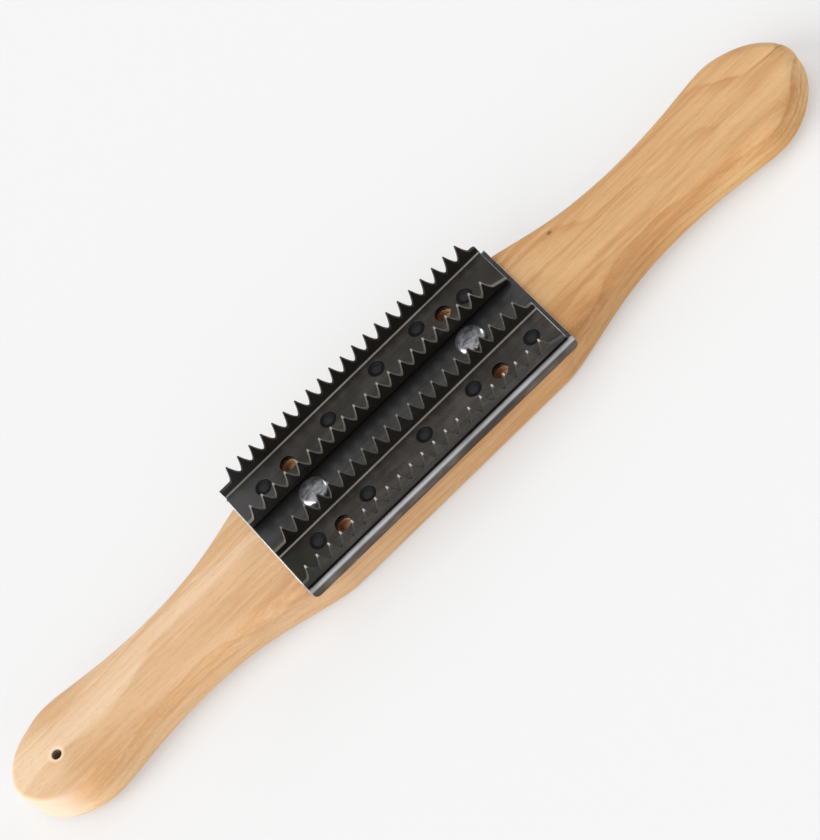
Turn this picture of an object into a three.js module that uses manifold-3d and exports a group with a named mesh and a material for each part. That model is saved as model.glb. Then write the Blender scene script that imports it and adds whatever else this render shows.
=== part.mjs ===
// Two-handled toothed hand tool: one wooden board with a handle at each end, a steel base plate
// folded over its middle, and two saw-toothed steel channels spot-welded to that plate.
// Millimetres. +X runs along the tool, +Z points out of the toothed face, and the origin is the
// centre of the board's flat back face.

import * as THREE from 'three';
import { mergeVertices } from 'three/addons/utils/BufferGeometryUtils.js';
import { ParametricGeometry } from 'three/addons/geometries/ParametricGeometry.js';
import Module from 'manifold-3d';

const wasm = await Module();
wasm.setup();

// ---------------------------------------------------------------- driving dimensions

const GAP = 0.3;                    // clearance left between touching pieces

// Wooden body
const BOARD_THICKNESS = 20.5;
const BODY_HALF_WIDTH = 31.3;
const NECK_AT = 133;
const BULB_AT = 187;
const SHOULDER_AT = 58;             // where the body's straight sides end
// Each handle was shaped by hand: noseLength and noseWidth are the pulls of the curve round the tip
// (shorter and narrower is more pointed), and the roundings are those of the tip's two edges.
const LEFT_HANDLE = {
  tip: 217.2, neckHalf: 20, bulbHalf: 25, noseLength: 17, noseWidth: 9,
  upperTipRounding: 2, lowerTipRounding: 4,
};
const RIGHT_HANDLE = {
  tip: 218, neckHalf: 20.4, bulbHalf: 25.2, noseLength: 17, noseWidth: 9,
  upperTipRounding: 5, lowerTipRounding: 7,
};
const BODY_ROUNDING = 2;            // edge radius along the body
const HANDLE_ROUNDING = 7;          // edge radius along the handles
const ROUNDING_FROM = 61;           // the edge radius grows between these two stations
const ROUNDING_TO = 110;
const TIP_FROM = 196;               // and changes to the tip's between these two
const TIP_TO = 214;
const HANG_HOLE = { x: -194.7, y: -0.4, radius: 2.25 };

// Steel group: two open holes go through each channel and the base plate below it
const STEEL_CENTRE = -1.9;
const OPEN_HOLES = [STEEL_CENTRE - 44, STEEL_CENTRE + 44];
const OPEN_HOLE_RADIUS = 3.6;
const DRILLED_DEPTH = 3;            // the drill ran this far on into the board, without its point
const DRILL_POINT = 1;

// Base plate: a sheet folded down over both long sides of the body
const PLATE_SHEET = 1.1;
const PLATE_FROM = -74.8;
const PLATE_TO = 72.3;
const PLATE_DROP = 6;               // height of its side flanges, from the plate's top
const PLATE_INNER_BEND = 0.7;
const PLATE_CORNER = 2.6;           // rounding of the flanges' lower corners

// Toothed channels
const CHANNEL_SHEET = 1.5;
const CHANNEL_FROM = -74;
const CHANNEL_TO = 70.5;
const CHANNEL_WIDTH = 22.8;         // across the outer faces, at the web
const CHANNEL_INNER_BEND = 0.8;
const FLANGE_LEAN = THREE.MathUtils.degToRad(4);
const REAR_CHANNEL_Y = 21.6;
const FRONT_CHANNEL_Y = -20;
const TEETH = 21;
const TOOTH_PITCH = 6.47;
const TOOTH_STAGGER = 1.65;         // each row is moved this far along the tool, far +, near -
const GULLET_HEIGHT = 3.7;          // above the web's top
const TIP_HEIGHT = 11.3;            // above the web's top
const TIP_BLUNTING = 1.3;           // how far the flanks would still run above the blunted tip
const FLANK_POWER = 1.55;           // 1 is a straight flank, more is hollow
const NEAR_SHOULDER_DROP = 2.2;     // the near rows' edges slope down past their last gullet
const FAR_SHOULDER_ROUNDING = 1.5;  // the far rows' edges end in a rounded corner

// Carriage bolts, washers and nuts
const BOLTS = { left: -45.7, right: 42.5 };
const BOLT_Y = 2.2;
const HEAD_RADIUS = 6.8;
const HEAD_HEIGHT = 3.4;
const HEAD_RIM = 0.7;
const SHANK_RADIUS = 2.95;
const NECK_SIDE = 6;                // square neck under the head
const NECK_DEPTH = 3.4;
const BOLT_END = 1.2;               // the shank stops this far inside the back face
const COUNTERBORE_RADIUS = 9.5;
const COUNTERBORE_DEPTH = 9;
const WASHER_RADIUS = 8;
const WASHER_THICKNESS = 1.6;
const NUT_ACROSS_FLATS = 10;
const NUT_HEIGHT = 5;

// Spot welds: centres [x, y], and how much longer than wide each one is
const WELD_RADIUS = 3.7;
const WELD_DISH = 0.3;
const WELDS = {
  rear: [[-59.6, 21.6, 1], [-21.6, 23.4, 1], [7, 25, 1], [30, 25.4, 1], [53.2, 20.2, 1]],
  front: [[-58.1, -17.8, 1.12], [-30.5, -18.2, 1], [2.4, -16.7, 1], [29.3, -17.2, 1], [60.5, -19.1, 1]],
};

// ---------------------------------------------------------------- levels worked out from them

const PLATE_BOTTOM = BOARD_THICKNESS + GAP;
const PLATE_TOP = PLATE_BOTTOM + PLATE_SHEET;
const WEB_BOTTOM = PLATE_TOP + GAP;
const WEB_TOP = WEB_BOTTOM + CHANNEL_SHEET;
const PLATE_HALF_WIDTH = BODY_HALF_WIDTH + GAP + PLATE_SHEET;
const PAST = 1;                     // cutters reach this far beyond what they cut

// ---------------------------------------------------------------- materials

const steel = (color, roughness) => new THREE.MeshStandardMaterial({ color, roughness, metalness: 0.9 });
const beech = new THREE.MeshStandardMaterial({ color: 0xdcb184, roughness: 0.6, metalness: 0 });
const plateSteel = steel(0x4d4f52, 0.45);
const channelSteel = steel(0x3f3c38, 0.5);
const weldSteel = steel(0x1d2024, 0.55);
const zinc = steel(0xc3c7cb, 0.3);

// ---------------------------------------------------------------- solids

function toSolid(geometry) {
  const bare = geometry.index ? geometry.toNonIndexed() : geometry.clone();
  bare.deleteAttribute('normal');
  bare.deleteAttribute('uv');
  const merged = mergeVertices(bare, 1e-4);
  return new wasm.Manifold(new wasm.Mesh({
    numProp: 3,
    vertProperties: new Float32Array(merged.attributes.position.array),
    triVerts: new Uint32Array(merged.index.array),
  }));
}

function toGeometry(solid) {
  const { vertProperties, triVerts } = solid.getMesh();
  const geometry = new THREE.BufferGeometry();
  geometry.setAttribute('position', new THREE.BufferAttribute(vertProperties, 3));
  geometry.setIndex(new THREE.BufferAttribute(triVerts, 1));
  geometry.computeVertexNormals();
  return geometry;
}

// An outline drawn in (y, z), extruded from one x to another.
function alongX(shape, from, to, curveSegments = 3) {
  const geometry = new THREE.ExtrudeGeometry(shape, { depth: to - from, bevelEnabled: false, curveSegments });
  geometry.applyMatrix4(new THREE.Matrix4().makeBasis(
    new THREE.Vector3(0, 1, 0), new THREE.Vector3(0, 0, 1), new THREE.Vector3(1, 0, 0)));
  return toSolid(geometry.translate(from, 0, 0));
}

// An outline drawn in (x, z), extruded from one y to another.
function alongY(shape, from, to, curveSegments = 3) {
  const geometry = new THREE.ExtrudeGeometry(shape, { depth: to - from, bevelEnabled: false, curveSegments });
  return toSolid(geometry.rotateX(Math.PI / 2).translate(0, to, 0));
}

function rod(x, y, radius, bottom, top, sides = 24) {
  const geometry = new THREE.CylinderGeometry(radius, radius, top - bottom, sides);
  return toSolid(geometry.rotateX(Math.PI / 2).translate(x, y, (top + bottom) / 2));
}

function block(x, y, side, bottom, top) {
  const geometry = new THREE.BoxGeometry(side, side, top - bottom);
  return toSolid(geometry.translate(x, y, (top + bottom) / 2));
}

// A turned piece: its profile is a list of [radius, z].
function turned(profile, x, y, sides = 24) {
  const points = profile.map(([radius, z]) => new THREE.Vector2(radius, z));
  return toSolid(new THREE.LatheGeometry(points, sides).rotateX(Math.PI / 2).translate(x, y, 0));
}

const group = new THREE.Group();

function addPiece(name, geometry, material) {
  const mesh = new THREE.Mesh(geometry, material.clone());
  mesh.name = name;
  group.add(mesh);
}

// ---------------------------------------------------------------- wooden body

// One edge of the board in plan, from the middle of the body to the tip of a handle.
function handleEdge({ tip, neckHalf, bulbHalf, noseLength, noseWidth }) {
  const edge = new THREE.Path();
  edge.moveTo(0, BODY_HALF_WIDTH);
  edge.lineTo(SHOULDER_AT, BODY_HALF_WIDTH);
  edge.bezierCurveTo(SHOULDER_AT + 11, BODY_HALF_WIDTH, NECK_AT - 33, neckHalf, NECK_AT, neckHalf);
  edge.bezierCurveTo(NECK_AT + 29, neckHalf, BULB_AT - 11, bulbHalf, BULB_AT, bulbHalf);
  edge.bezierCurveTo(BULB_AT + noseLength, bulbHalf, tip, noseWidth, tip, 0);
  return edge.getPoints(8);
}

function boardOutline() {
  const right = handleEdge(RIGHT_HANDLE);
  const left = handleEdge(LEFT_HANDLE).map((p) => new THREE.Vector2(-p.x, p.y));
  const far = [...left.reverse(), ...right.slice(1)];
  const near = far.slice(1, -1).reverse().map((p) => new THREE.Vector2(p.x, -p.y));
  return [...far, ...near];
}

function edgeRounding(x, upper) {
  const { lerp, smoothstep } = THREE.MathUtils;
  const reach = Math.abs(x);
  const along = lerp(BODY_ROUNDING, HANDLE_ROUNDING, smoothstep(reach, ROUNDING_FROM, ROUNDING_TO));
  const { upperTipRounding, lowerTipRounding } = x < 0 ? LEFT_HANDLE : RIGHT_HANDLE;
  const atTip = upper ? upperTipRounding : lowerTipRounding;
  return lerp(along, atTip, smoothstep(reach, TIP_FROM, TIP_TO));
}

// The outline is carried up through the board's thickness, drawn in by the edge rounding at the
// bottom and the top, and each flat face closes on the board's centre line.
function boardGeometry() {
  const outline = boardOutline();
  const count = outline.length;
  const arcSteps = 3;
  const stacks = 2 * arcSteps + 3;
  const ridgeShrink = (RIGHT_HANDLE.tip - HANDLE_ROUNDING - 3) / RIGHT_HANDLE.tip;

  const place = (u, v, target) => {
    const i = (count - Math.round(u * count)) % count;
    const row = Math.round(v * stacks);
    const point = outline[i];
    if (row === 0 || row === stacks) {
      target.set(point.x * ridgeShrink, 0, row === 0 ? 0 : BOARD_THICKNESS);
      return;
    }
    const ahead = outline[(i + 1) % count];
    const behind = outline[(i + count - 1) % count];
    const tangent = ahead.clone().sub(behind).normalize();
    const upper = row > arcSteps + 1;
    const radius = edgeRounding(point.x, upper);
    const step = upper ? stacks - 1 - row : row - 1;
    const angle = (step / arcSteps) * Math.PI / 2;
    const inset = radius * (1 - Math.sin(angle));
    const depth = radius * (1 - Math.cos(angle));
    target.set(point.x + tangent.y * inset, point.y - tangent.x * inset,
      upper ? BOARD_THICKNESS - depth : depth);
  };
  return new ParametricGeometry(place, count, stacks);
}

function woodenBody() {
  let body = toSolid(boardGeometry());
  const above = BOARD_THICKNESS + PAST;
  body = body.subtract(rod(HANG_HOLE.x, HANG_HOLE.y, HANG_HOLE.radius, -PAST, above, 16));
  for (const x of Object.values(BOLTS)) {
    const neckPocket = block(x, BOLT_Y, NECK_SIDE + 2 * GAP, WEB_BOTTOM - NECK_DEPTH - GAP, above);
    body = body.subtract(rod(x, BOLT_Y, SHANK_RADIUS + GAP, -PAST, above));
    body = body.subtract(neckPocket);
    body = body.subtract(rod(x, BOLT_Y, COUNTERBORE_RADIUS, -PAST, COUNTERBORE_DEPTH, 32));
  }
  for (const [x, y] of openHoleCentres()) {
    body = body.subtract(drilledPit(x, y));
  }
  return toGeometry(body);
}

function openHoleCentres() {
  return OPEN_HOLES.flatMap((x) => [[x, REAR_CHANNEL_Y], [x, FRONT_CHANNEL_Y]]);
}

// The blind hole that the drill leaves in the board under each open hole.
function drilledPit(x, y) {
  const shoulder = BOARD_THICKNESS - DRILLED_DEPTH;
  const above = BOARD_THICKNESS + PAST;
  return turned([[0, shoulder - DRILL_POINT], [OPEN_HOLE_RADIUS, shoulder], [OPEN_HOLE_RADIUS, above],
    [0, above]], x, y);
}

// ---------------------------------------------------------------- folded sheet pieces

// A folded U section in (y, z): web bottom at z = 0, both flanges up, leaning out by lean.
// rise is the height of the flanges' outer ends above the web's bottom.
function foldedSection(sheet, halfWidth, innerBend, lean, rise) {
  const outerBend = innerBend + sheet;
  const bendY = halfWidth - outerBend;
  const run = (rise - outerBend + outerBend * Math.sin(lean)) / Math.cos(lean);
  const end = (radius, side) => [
    side * (bendY + radius * Math.cos(lean) + run * Math.sin(lean)),
    outerBend - radius * Math.sin(lean) + run * Math.cos(lean),
  ];
  const floor = -Math.PI / 2;
  const shape = new THREE.Shape();
  shape.moveTo(...end(innerBend, 1));
  shape.lineTo(...end(outerBend, 1));
  shape.absarc(bendY, outerBend, outerBend, -lean, floor, true);
  shape.absarc(-bendY, outerBend, outerBend, floor, lean - Math.PI, true);
  shape.lineTo(...end(outerBend, -1));
  shape.lineTo(...end(innerBend, -1));
  shape.absarc(-bendY, outerBend, innerBend, lean - Math.PI, floor, false);
  shape.absarc(bendY, outerBend, innerBend, floor, -lean, false);
  shape.closePath();
  return shape;
}

function basePlate() {
  const section = foldedSection(PLATE_SHEET, PLATE_HALF_WIDTH, PLATE_INNER_BEND, 0, PLATE_DROP);
  let plate = alongX(section, PLATE_FROM, PLATE_TO).rotate([180, 0, 0]).translate([0, 0, PLATE_TOP]);

  const side = new THREE.Shape();
  const cornerZ = PLATE_TOP - PLATE_DROP + PLATE_CORNER;
  side.moveTo(PLATE_TO, PLATE_TOP + PAST);
  side.lineTo(PLATE_FROM, PLATE_TOP + PAST);
  side.absarc(PLATE_FROM + PLATE_CORNER, cornerZ, PLATE_CORNER, Math.PI, 1.5 * Math.PI, false);
  side.absarc(PLATE_TO - PLATE_CORNER, cornerZ, PLATE_CORNER, 1.5 * Math.PI, 2 * Math.PI, false);
  side.closePath();
  plate = plate.intersect(alongY(side, -PLATE_HALF_WIDTH - PAST, PLATE_HALF_WIDTH + PAST));

  for (const x of Object.values(BOLTS)) {
    plate = plate.subtract(block(x, BOLT_Y, NECK_SIDE + 2 * GAP, PLATE_BOTTOM - PAST, PLATE_TOP + PAST));
  }
  for (const [x, y] of openHoleCentres()) {
    plate = plate.subtract(rod(x, y, OPEN_HOLE_RADIUS, PLATE_BOTTOM - PAST, PLATE_TOP + PAST));
  }
  return toGeometry(plate);
}

// Everything above one flange's toothed edge, as an outline in (x, z). endRight draws the edge
// from the last gullet to the channel's right end.
function toothCutter(stagger, endRight) {
  const gullet = WEB_TOP + GULLET_HEIGHT;
  const reach = TIP_HEIGHT - GULLET_HEIGHT + TIP_BLUNTING;
  const half = TOOTH_PITCH / 2;
  const flank = [-1, -0.82, -0.6, -0.3, 0, 0.3, 0.6, 0.82];
  const firstTip = STEEL_CENTRE + stagger - (TEETH - 1) * half;
  const shape = new THREE.Shape();
  shape.moveTo(CHANNEL_FROM - PAST, gullet);
  for (let tooth = 0; tooth < TEETH; tooth += 1) {
    const tip = firstTip + tooth * TOOTH_PITCH;
    for (const offset of flank) {
      shape.lineTo(tip + offset * half, gullet + reach * (1 - Math.abs(offset)) ** FLANK_POWER);
    }
  }
  shape.lineTo(firstTip + TEETH * TOOTH_PITCH - half, gullet);
  endRight(shape, gullet);
  shape.lineTo(CHANNEL_TO + PAST, WEB_TOP + TIP_HEIGHT + 2 * PAST);
  shape.lineTo(CHANNEL_FROM - PAST, WEB_TOP + TIP_HEIGHT + 2 * PAST);
  shape.closePath();
  return shape;
}

function slopedShoulder(shape, gullet) {
  shape.lineTo(CHANNEL_TO, gullet - NEAR_SHOULDER_DROP);
  shape.lineTo(CHANNEL_TO + PAST, gullet - NEAR_SHOULDER_DROP);
}

function roundedShoulder(shape, gullet) {
  const radius = FAR_SHOULDER_ROUNDING;
  shape.absarc(CHANNEL_TO - radius, gullet - radius, radius, Math.PI / 2, 0, true);
  shape.lineTo(CHANNEL_TO + PAST, gullet - radius);
}

function toothedChannel(y, welds) {
  const section = foldedSection(CHANNEL_SHEET, CHANNEL_WIDTH / 2, CHANNEL_INNER_BEND, FLANGE_LEAN,
    CHANNEL_SHEET + TIP_HEIGHT);
  const farCutter = toothCutter(TOOTH_STAGGER, roundedShoulder);
  const nearCutter = toothCutter(-TOOTH_STAGGER, slopedShoulder);
  let channel = alongX(section, CHANNEL_FROM, CHANNEL_TO).translate([0, y, WEB_BOTTOM]);
  channel = channel.subtract(alongY(farCutter, y, y + CHANNEL_WIDTH));
  channel = channel.subtract(alongY(nearCutter, y - CHANNEL_WIDTH, y));
  for (const x of OPEN_HOLES) {
    channel = channel.subtract(rod(x, y, OPEN_HOLE_RADIUS, WEB_BOTTOM - PAST, WEB_TOP + PAST));
  }
  for (const [weldX, weldY, stretch] of welds) {
    const hole = rod(0, 0, WELD_RADIUS + GAP, WEB_BOTTOM - PAST, WEB_TOP + PAST, 16);
    channel = channel.subtract(hole.scale([1, stretch, 1]).translate([weldX, weldY, 0]));
  }
  return toGeometry(channel);
}

// One fused nugget: it fills the web where the welding tip dented it.
function spotWeld(x, y, stretch) {
  const profile = [[0, WEB_BOTTOM], [WELD_RADIUS, WEB_BOTTOM], [WELD_RADIUS, WEB_TOP],
    [WELD_RADIUS * 0.7, WEB_TOP - WELD_DISH], [0, WEB_TOP - WELD_DISH]];
  return toGeometry(turned(profile, 0, 0, 16).scale([1, stretch, 1]).translate([x, y, 0]));
}

// ---------------------------------------------------------------- fixings

function carriageBolt(x) {
  const seat = WEB_BOTTOM;
  const dome = HEAD_HEIGHT - HEAD_RIM;
  const profile = [[0, seat], [HEAD_RADIUS - 0.3, seat], [HEAD_RADIUS, seat + HEAD_RIM]];
  const domeSteps = 5;
  for (let step = 1; step <= domeSteps; step += 1) {
    const angle = (step / domeSteps) * Math.PI / 2;
    profile.push([HEAD_RADIUS * Math.cos(angle), seat + HEAD_RIM + dome * Math.sin(angle)]);
  }
  profile[profile.length - 1][0] = 0;
  return toGeometry(turned(profile, x, BOLT_Y)
    .add(block(x, BOLT_Y, NECK_SIDE, seat - NECK_DEPTH, seat + HEAD_RIM))
    .add(rod(x, BOLT_Y, SHANK_RADIUS, BOLT_END, seat + HEAD_RIM)));
}

const WASHER_TOP = COUNTERBORE_DEPTH - GAP;
const NUT_TOP = WASHER_TOP - WASHER_THICKNESS - GAP;

function washer(x) {
  const bottom = WASHER_TOP - WASHER_THICKNESS;
  const ring = rod(x, BOLT_Y, WASHER_RADIUS, bottom, WASHER_TOP, 32);
  return toGeometry(ring.subtract(rod(x, BOLT_Y, SHANK_RADIUS + GAP, bottom - PAST, WASHER_TOP + PAST)));
}

function nut(x) {
  const cornerRadius = NUT_ACROSS_FLATS / 2 / Math.cos(Math.PI / 6);
  const bottom = NUT_TOP - NUT_HEIGHT;
  const chamfer = 0.6;
  const hexagon = rod(x, BOLT_Y, cornerRadius, bottom, NUT_TOP, 6);
  const chamfered = turned([[0, bottom], [cornerRadius - chamfer, bottom], [cornerRadius, bottom + chamfer],
    [cornerRadius, NUT_TOP], [0, NUT_TOP]], x, BOLT_Y);
  const bore = rod(x, BOLT_Y, SHANK_RADIUS + GAP, bottom - PAST, NUT_TOP + PAST);
  return toGeometry(hexagon.intersect(chamfered).subtract(bore));
}

// ---------------------------------------------------------------- assembly

addPiece('wooden_body', woodenBody(), beech);
addPiece('base_plate', basePlate(), plateSteel);
addPiece('toothed_channel_rear', toothedChannel(REAR_CHANNEL_Y, WELDS.rear), channelSteel);
addPiece('toothed_channel_front', toothedChannel(FRONT_CHANNEL_Y, WELDS.front), channelSteel);
for (const [row, welds] of Object.entries(WELDS)) {
  welds.forEach((weld, index) => addPiece(`spot_weld_${row}_${index + 1}`, spotWeld(...weld), weldSteel));
}
for (const [side, x] of Object.entries(BOLTS)) {
  addPiece(`carriage_bolt_${side}`, carriageBolt(x), zinc);
  addPiece(`washer_${side}`, washer(x), zinc);
  addPiece(`nut_${side}`, nut(x), zinc);
}

export default group;
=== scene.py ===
import math

import bmesh
import bpy
from mathutils import Matrix, Vector, noise


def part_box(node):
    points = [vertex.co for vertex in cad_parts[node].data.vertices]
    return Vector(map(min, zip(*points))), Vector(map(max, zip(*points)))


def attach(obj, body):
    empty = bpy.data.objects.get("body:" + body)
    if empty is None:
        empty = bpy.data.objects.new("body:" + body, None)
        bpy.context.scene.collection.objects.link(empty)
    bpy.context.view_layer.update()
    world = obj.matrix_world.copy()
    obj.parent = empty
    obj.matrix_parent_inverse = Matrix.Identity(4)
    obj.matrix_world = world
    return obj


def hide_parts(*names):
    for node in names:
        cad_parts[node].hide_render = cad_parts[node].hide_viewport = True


# A two-handled toothed hand tool: its finished surfaces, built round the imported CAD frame.
# Shapes are worked out in millimetres, in the frame's own axes, and written as meshes in metres.
# +X runs along the tool, +Z points out of the toothed face and z = 0 is the board's back.

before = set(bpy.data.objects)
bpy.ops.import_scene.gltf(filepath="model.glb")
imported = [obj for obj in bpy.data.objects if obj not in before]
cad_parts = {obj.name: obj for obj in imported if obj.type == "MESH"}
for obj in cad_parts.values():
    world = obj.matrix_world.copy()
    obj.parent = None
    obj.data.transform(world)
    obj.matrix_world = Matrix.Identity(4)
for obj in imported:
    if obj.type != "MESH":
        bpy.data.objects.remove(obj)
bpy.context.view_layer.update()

MM = 0.001


def box_mm(node):
    low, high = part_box(node)
    return low / MM, high / MM


def centre_mm(node):
    low, high = box_mm(node)
    return (low + high) / 2


# ---------------------------------------------------------------- driving dimensions

GAP = 0.3

# Wooden board
BODY_HALF_WIDTH = box_mm("wooden_body")[1].y
BOARD_THICKNESS = box_mm("wooden_body")[1].z
NECK_AT = 133
BULB_AT = 187
SHOULDER_AT = 58
SHOULDER_PULL = 11                  # how far the curves lean out along the tool from each of these places
NECK_PULL_INWARDS = 33
NECK_PULL_OUTWARDS = 29
BULB_PULL = 11
# Necks and bulbs are half widths. A nose says how far the curve round a tip is pulled along and across.
LEFT_HANDLE = {
    "tip": -box_mm("wooden_body")[0].x,
    "neck": 20,
    "bulb": 25,
    "nose_length": 17,
    "nose_width": 9,
    "upper_rounding": 2,
    "lower_rounding": 4,
}
RIGHT_HANDLE = {
    "tip": box_mm("wooden_body")[1].x,
    "neck": 20.4,
    "bulb": 25.2,
    "nose_length": 17,
    "nose_width": 9,
    "upper_rounding": 5,
    "lower_rounding": 7,
}
BODY_ROUNDING = 2
HANDLE_ROUNDING = 7
ROUNDING_FROM = 61
ROUNDING_TO = 110
TIP_FROM = 196
TIP_TO = 214
HANG_HOLE = Vector((-194.7, -0.4))
HANG_HOLE_RADIUS = 2.25
HANG_HOLE_BREAK = 0.3               # how far its edges are broken

# Wood figure
PITH_BESIDE = 12                    # the pith line runs at y = -12, z = -48
PITH_BELOW = 48
RING_SPACING = 4.3
DARK_FLECKS = (                     # (x, y, z, radius), the first of them a pin knot
    (96, 15.6, BOARD_THICKNESS, 1.1),
    (-120.7, -20, 3, 0.9),
    (-150, -21.5, 4.5, 0.8),
    (-139, -20.5, 6, 0.5),
)
CRACK_Y = 2.4                       # a fine crack runs in from the right-hand tip here

# Base plate, folded down over both sides of the board
PLATE_LOW, PLATE_HIGH = box_mm("base_plate")
PLATE_SHEET = PLATE_HIGH.y - GAP - BODY_HALF_WIDTH
PLATE_INNER_BEND = 0.7
PLATE_CORNER = 2.6
PLATE_ROLLED_EDGE = 0.5             # the left sheared edge is rounded more than the others

# Toothed channels
CHANNELS = {"rear": "toothed_channel_rear", "front": "toothed_channel_front"}
CHANNEL_SHEET = box_mm("spot_weld_rear_1")[1].z - box_mm("spot_weld_rear_1")[0].z
WEB_TOP = box_mm("spot_weld_rear_1")[1].z
CHANNEL_WIDTH = 22.8
CHANNEL_INNER_BEND = 0.8
FLANGE_LEAN = math.radians(4)
STEEL_CENTRE = -1.9
OPEN_HOLES = (STEEL_CENTRE - 44, STEEL_CENTRE + 44)
OPEN_HOLE_RADIUS = 3.6
DRILLED_DEPTH = 3                   # the drill ran this far on into the board, without its point
DRILL_POINT = 1
TEETH = 21
TOOTH_PITCH = 6.47
TOOTH_STAGGER = 1.65
GULLET_HEIGHT = 3.7                 # above the web's top, as the tips are
# The flanges lean, so the higher one of a tip's two faces reaches past the sheet's middle.
LEAN_RISE = CHANNEL_SHEET / 2 * math.sin(FLANGE_LEAN)
TIP_HEIGHT = box_mm("toothed_channel_rear")[1].z - WEB_TOP - LEAN_RISE
TIP_BLUNTING = 1.3
FLANK_POWER = 1.55
NEAR_SHOULDER_DROP = 2.2            # the near rows' edges slope down past their last gullet
FAR_SHOULDER_ROUNDING = 1.5         # the far rows' edges end in a rounded corner
POINT_GLINT = {"rear": (0.0, 0.12), "front": (0.05, 0.4)}     # painted glint on each channel's far and near points
GLINT_STARTS = 1.3                   # below the points, where their painted glint starts to show
GLINT_FULL = 0.2
SHEARED_EDGE = 0.06                 # how far a sheared edge is broken
DRILLED_EDGE = 0.06
WORN_EDGE = 0.3

# Carriage bolts, washers and nuts
SIDES = ("left", "right")
NECK_SIDE = 6
NECK_CORNER = 0.5
NECK_DEPTH = 3.4
NECK_POCKET = NECK_SIDE + 2 * GAP
SHANK_RADIUS = 2.95
HEAD_RIM = 0.7
DOME_FULLNESS = 2.7                 # 2 would be an ellipse; more is flatter on top and tighter at the rim
THREAD_PITCH = 1
THREAD_DEPTH = 0.5
THREAD_TOP = 13
THREAD_RUNOUT = 0.5                 # plain length at each end of a thread
NECK_END = PLATE_HIGH.z + GAP - NECK_DEPTH
SEAT_GAP = 0.05                     # between a bolt's head and the plate
HEAD_UNDERSIDE = ((0.5, 0.0), (0.15, 0.12), (0.03, 0.35))   # (in from the rim, up from the seat)
HEAD_UNEVENNESS = 0.03
COUNTERBORE_RADIUS = 9.5
COUNTERBORE_DEPTH = 9
WASHER_ROLLED = 0.35                # a punched washer's lower edges are rolled over, its upper ones broken
WASHER_ROLL_MIDDLE = 0.1
WASHER_BROKEN = 0.12
NUT_THREAD_GAP = 0.05
NUT_MOUTH = 0.1
NUT_FACE_INSET = 0.15
NUT_CHAMFER_FROM = 0.08
NUT_CHAMFER = math.radians(30)

# Spot welds
WELDS_IN_A_ROW = 5
WELD_SEAM = 0.04                    # between a weld and the web it is sunk in
WELD_DISH = (                       # (in from the rim, down from the top)
    (0, 0.1), (0.12, 0), (0.45, 0), (0.75, 0.1), (1.0, 0.3), (1.3, 0.4), (1.8, 0.36), (2.5, 0.3),
    (3.2, 0.28),
)
WELD_MIDDLE = 0.27
WELD_SKIN = 0.6                     # how deep its uneven top reaches
WELD_UNEVENNESS = 0.07

# Bands across the tool, in Y, that a row of teeth's colour fades in or out over: a painted highlight on the
# middle row, and darker far and near rows
MIDDLE_ROW_STARTS = (2.0, 4.0)
MIDDLE_ROW_ENDS = (26.0, 24.0)
FAR_ROW_STARTS = (30.5, 31.5)
NEAR_ROW_STARTS = (-26.0, -28.0)
CHANNEL_END = box_mm("toothed_channel_front")[1].x

# Floor and camera
FLOOR_REACH = 40                    # in metres
FLOOR_BELOW = 0.4                   # under the tool, in millimetres
VIEW_TILT = math.radians(38)        # from the toothed face's normal, towards the near side
VIEW_TURN = math.radians(44.1342)   # of the tool's long axis, anticlockwise from level
AIM_ALONG = 2.29
AIM_ACROSS = 9.68
CAMERA_DISTANCE = 1.84              # in metres
LENS = 193
SENSOR = 36

# Corners sharper than this cosine are drawn in no further, so that they don't run to a spike
SHARPEST_CORNER = 0.35

# How finely curved shapes are divided
CURVE_STEPS = 26
ROUNDING_STEPS = 9
FLANK_STEPS = 9
BEND_STEPS = 10
CORNER_STEPS = 8
SHOULDER_STEPS = 6
DOME_STEPS = 16
THREAD_STEPS = 8                    # along one pitch
HOLE_SIDES = 40
PIT_SIDES = 36
BOLT_HOLE_SIDES = 48
WELD_SIDES = 40
BOLT_SIDES = 56
WASHER_SIDES = 64
NUT_SIDES = 72


# ---------------------------------------------------------------- small sums

def mix(a, b, share):
    return a + (b - a) * share


def smooth(value, low, high):
    share = min(1.0, max(0.0, (value - low) / (high - low)))
    return share * share * (3 - 2 * share)


def bezier(start, pull, push, end):
    """The points of a cubic curve after its start, its end included."""
    points = []
    for step in range(1, CURVE_STEPS + 1):
        t = step / CURVE_STEPS
        u = 1 - t
        weights = (u * u * u, 3 * u * u * t, 3 * u * t * t, t * t * t)
        places = (start, pull, push, end)
        points.append(Vector((sum(w * p[0] for w, p in zip(weights, places)),
                              sum(w * p[1] for w, p in zip(weights, places)))))
    return points


def inward(loop):
    """For each point of a closed loop, the way into the material, which lies on the loop's right-hand side.
    It is longer at a corner, so that both neighbouring edges move by the same distance."""
    ways = []
    for before, here, after in zip(loop[-1:] + loop[:-1], loop, loop[1:] + loop[:1]):
        came = (here - before).normalized()
        goes = (after - here).normalized()
        first = Vector((came.y, -came.x))
        way = (first + Vector((goes.y, -goes.x))).normalized()
        ways.append(way / max(SHARPEST_CORNER, way.dot(first)))
    return ways


def circle(centre, radius, sides, stretch=1.0):
    turn = 2 * math.pi / sides
    return [Vector((centre[0] + radius * math.cos(i * turn),
                    centre[1] + radius * stretch * math.sin(i * turn))) for i in range(sides)]


def square(centre, side, sides):
    """A square with blunted corners, as many points as a circle of that many sides and in step with it."""
    points = []
    for point in circle((0, 0), 1, sides):
        reach = side / 2 / max(abs(point.x), abs(point.y))
        corner_reach = (side / 2 - NECK_CORNER) * math.sqrt(2) + NECK_CORNER
        points.append(Vector(centre) + point * min(reach, corner_reach))
    return points


# ---------------------------------------------------------------- mesh building

def ring(bm, points, z):
    return [bm.verts.new((p.x, p.y, z)) for p in points]


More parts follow.
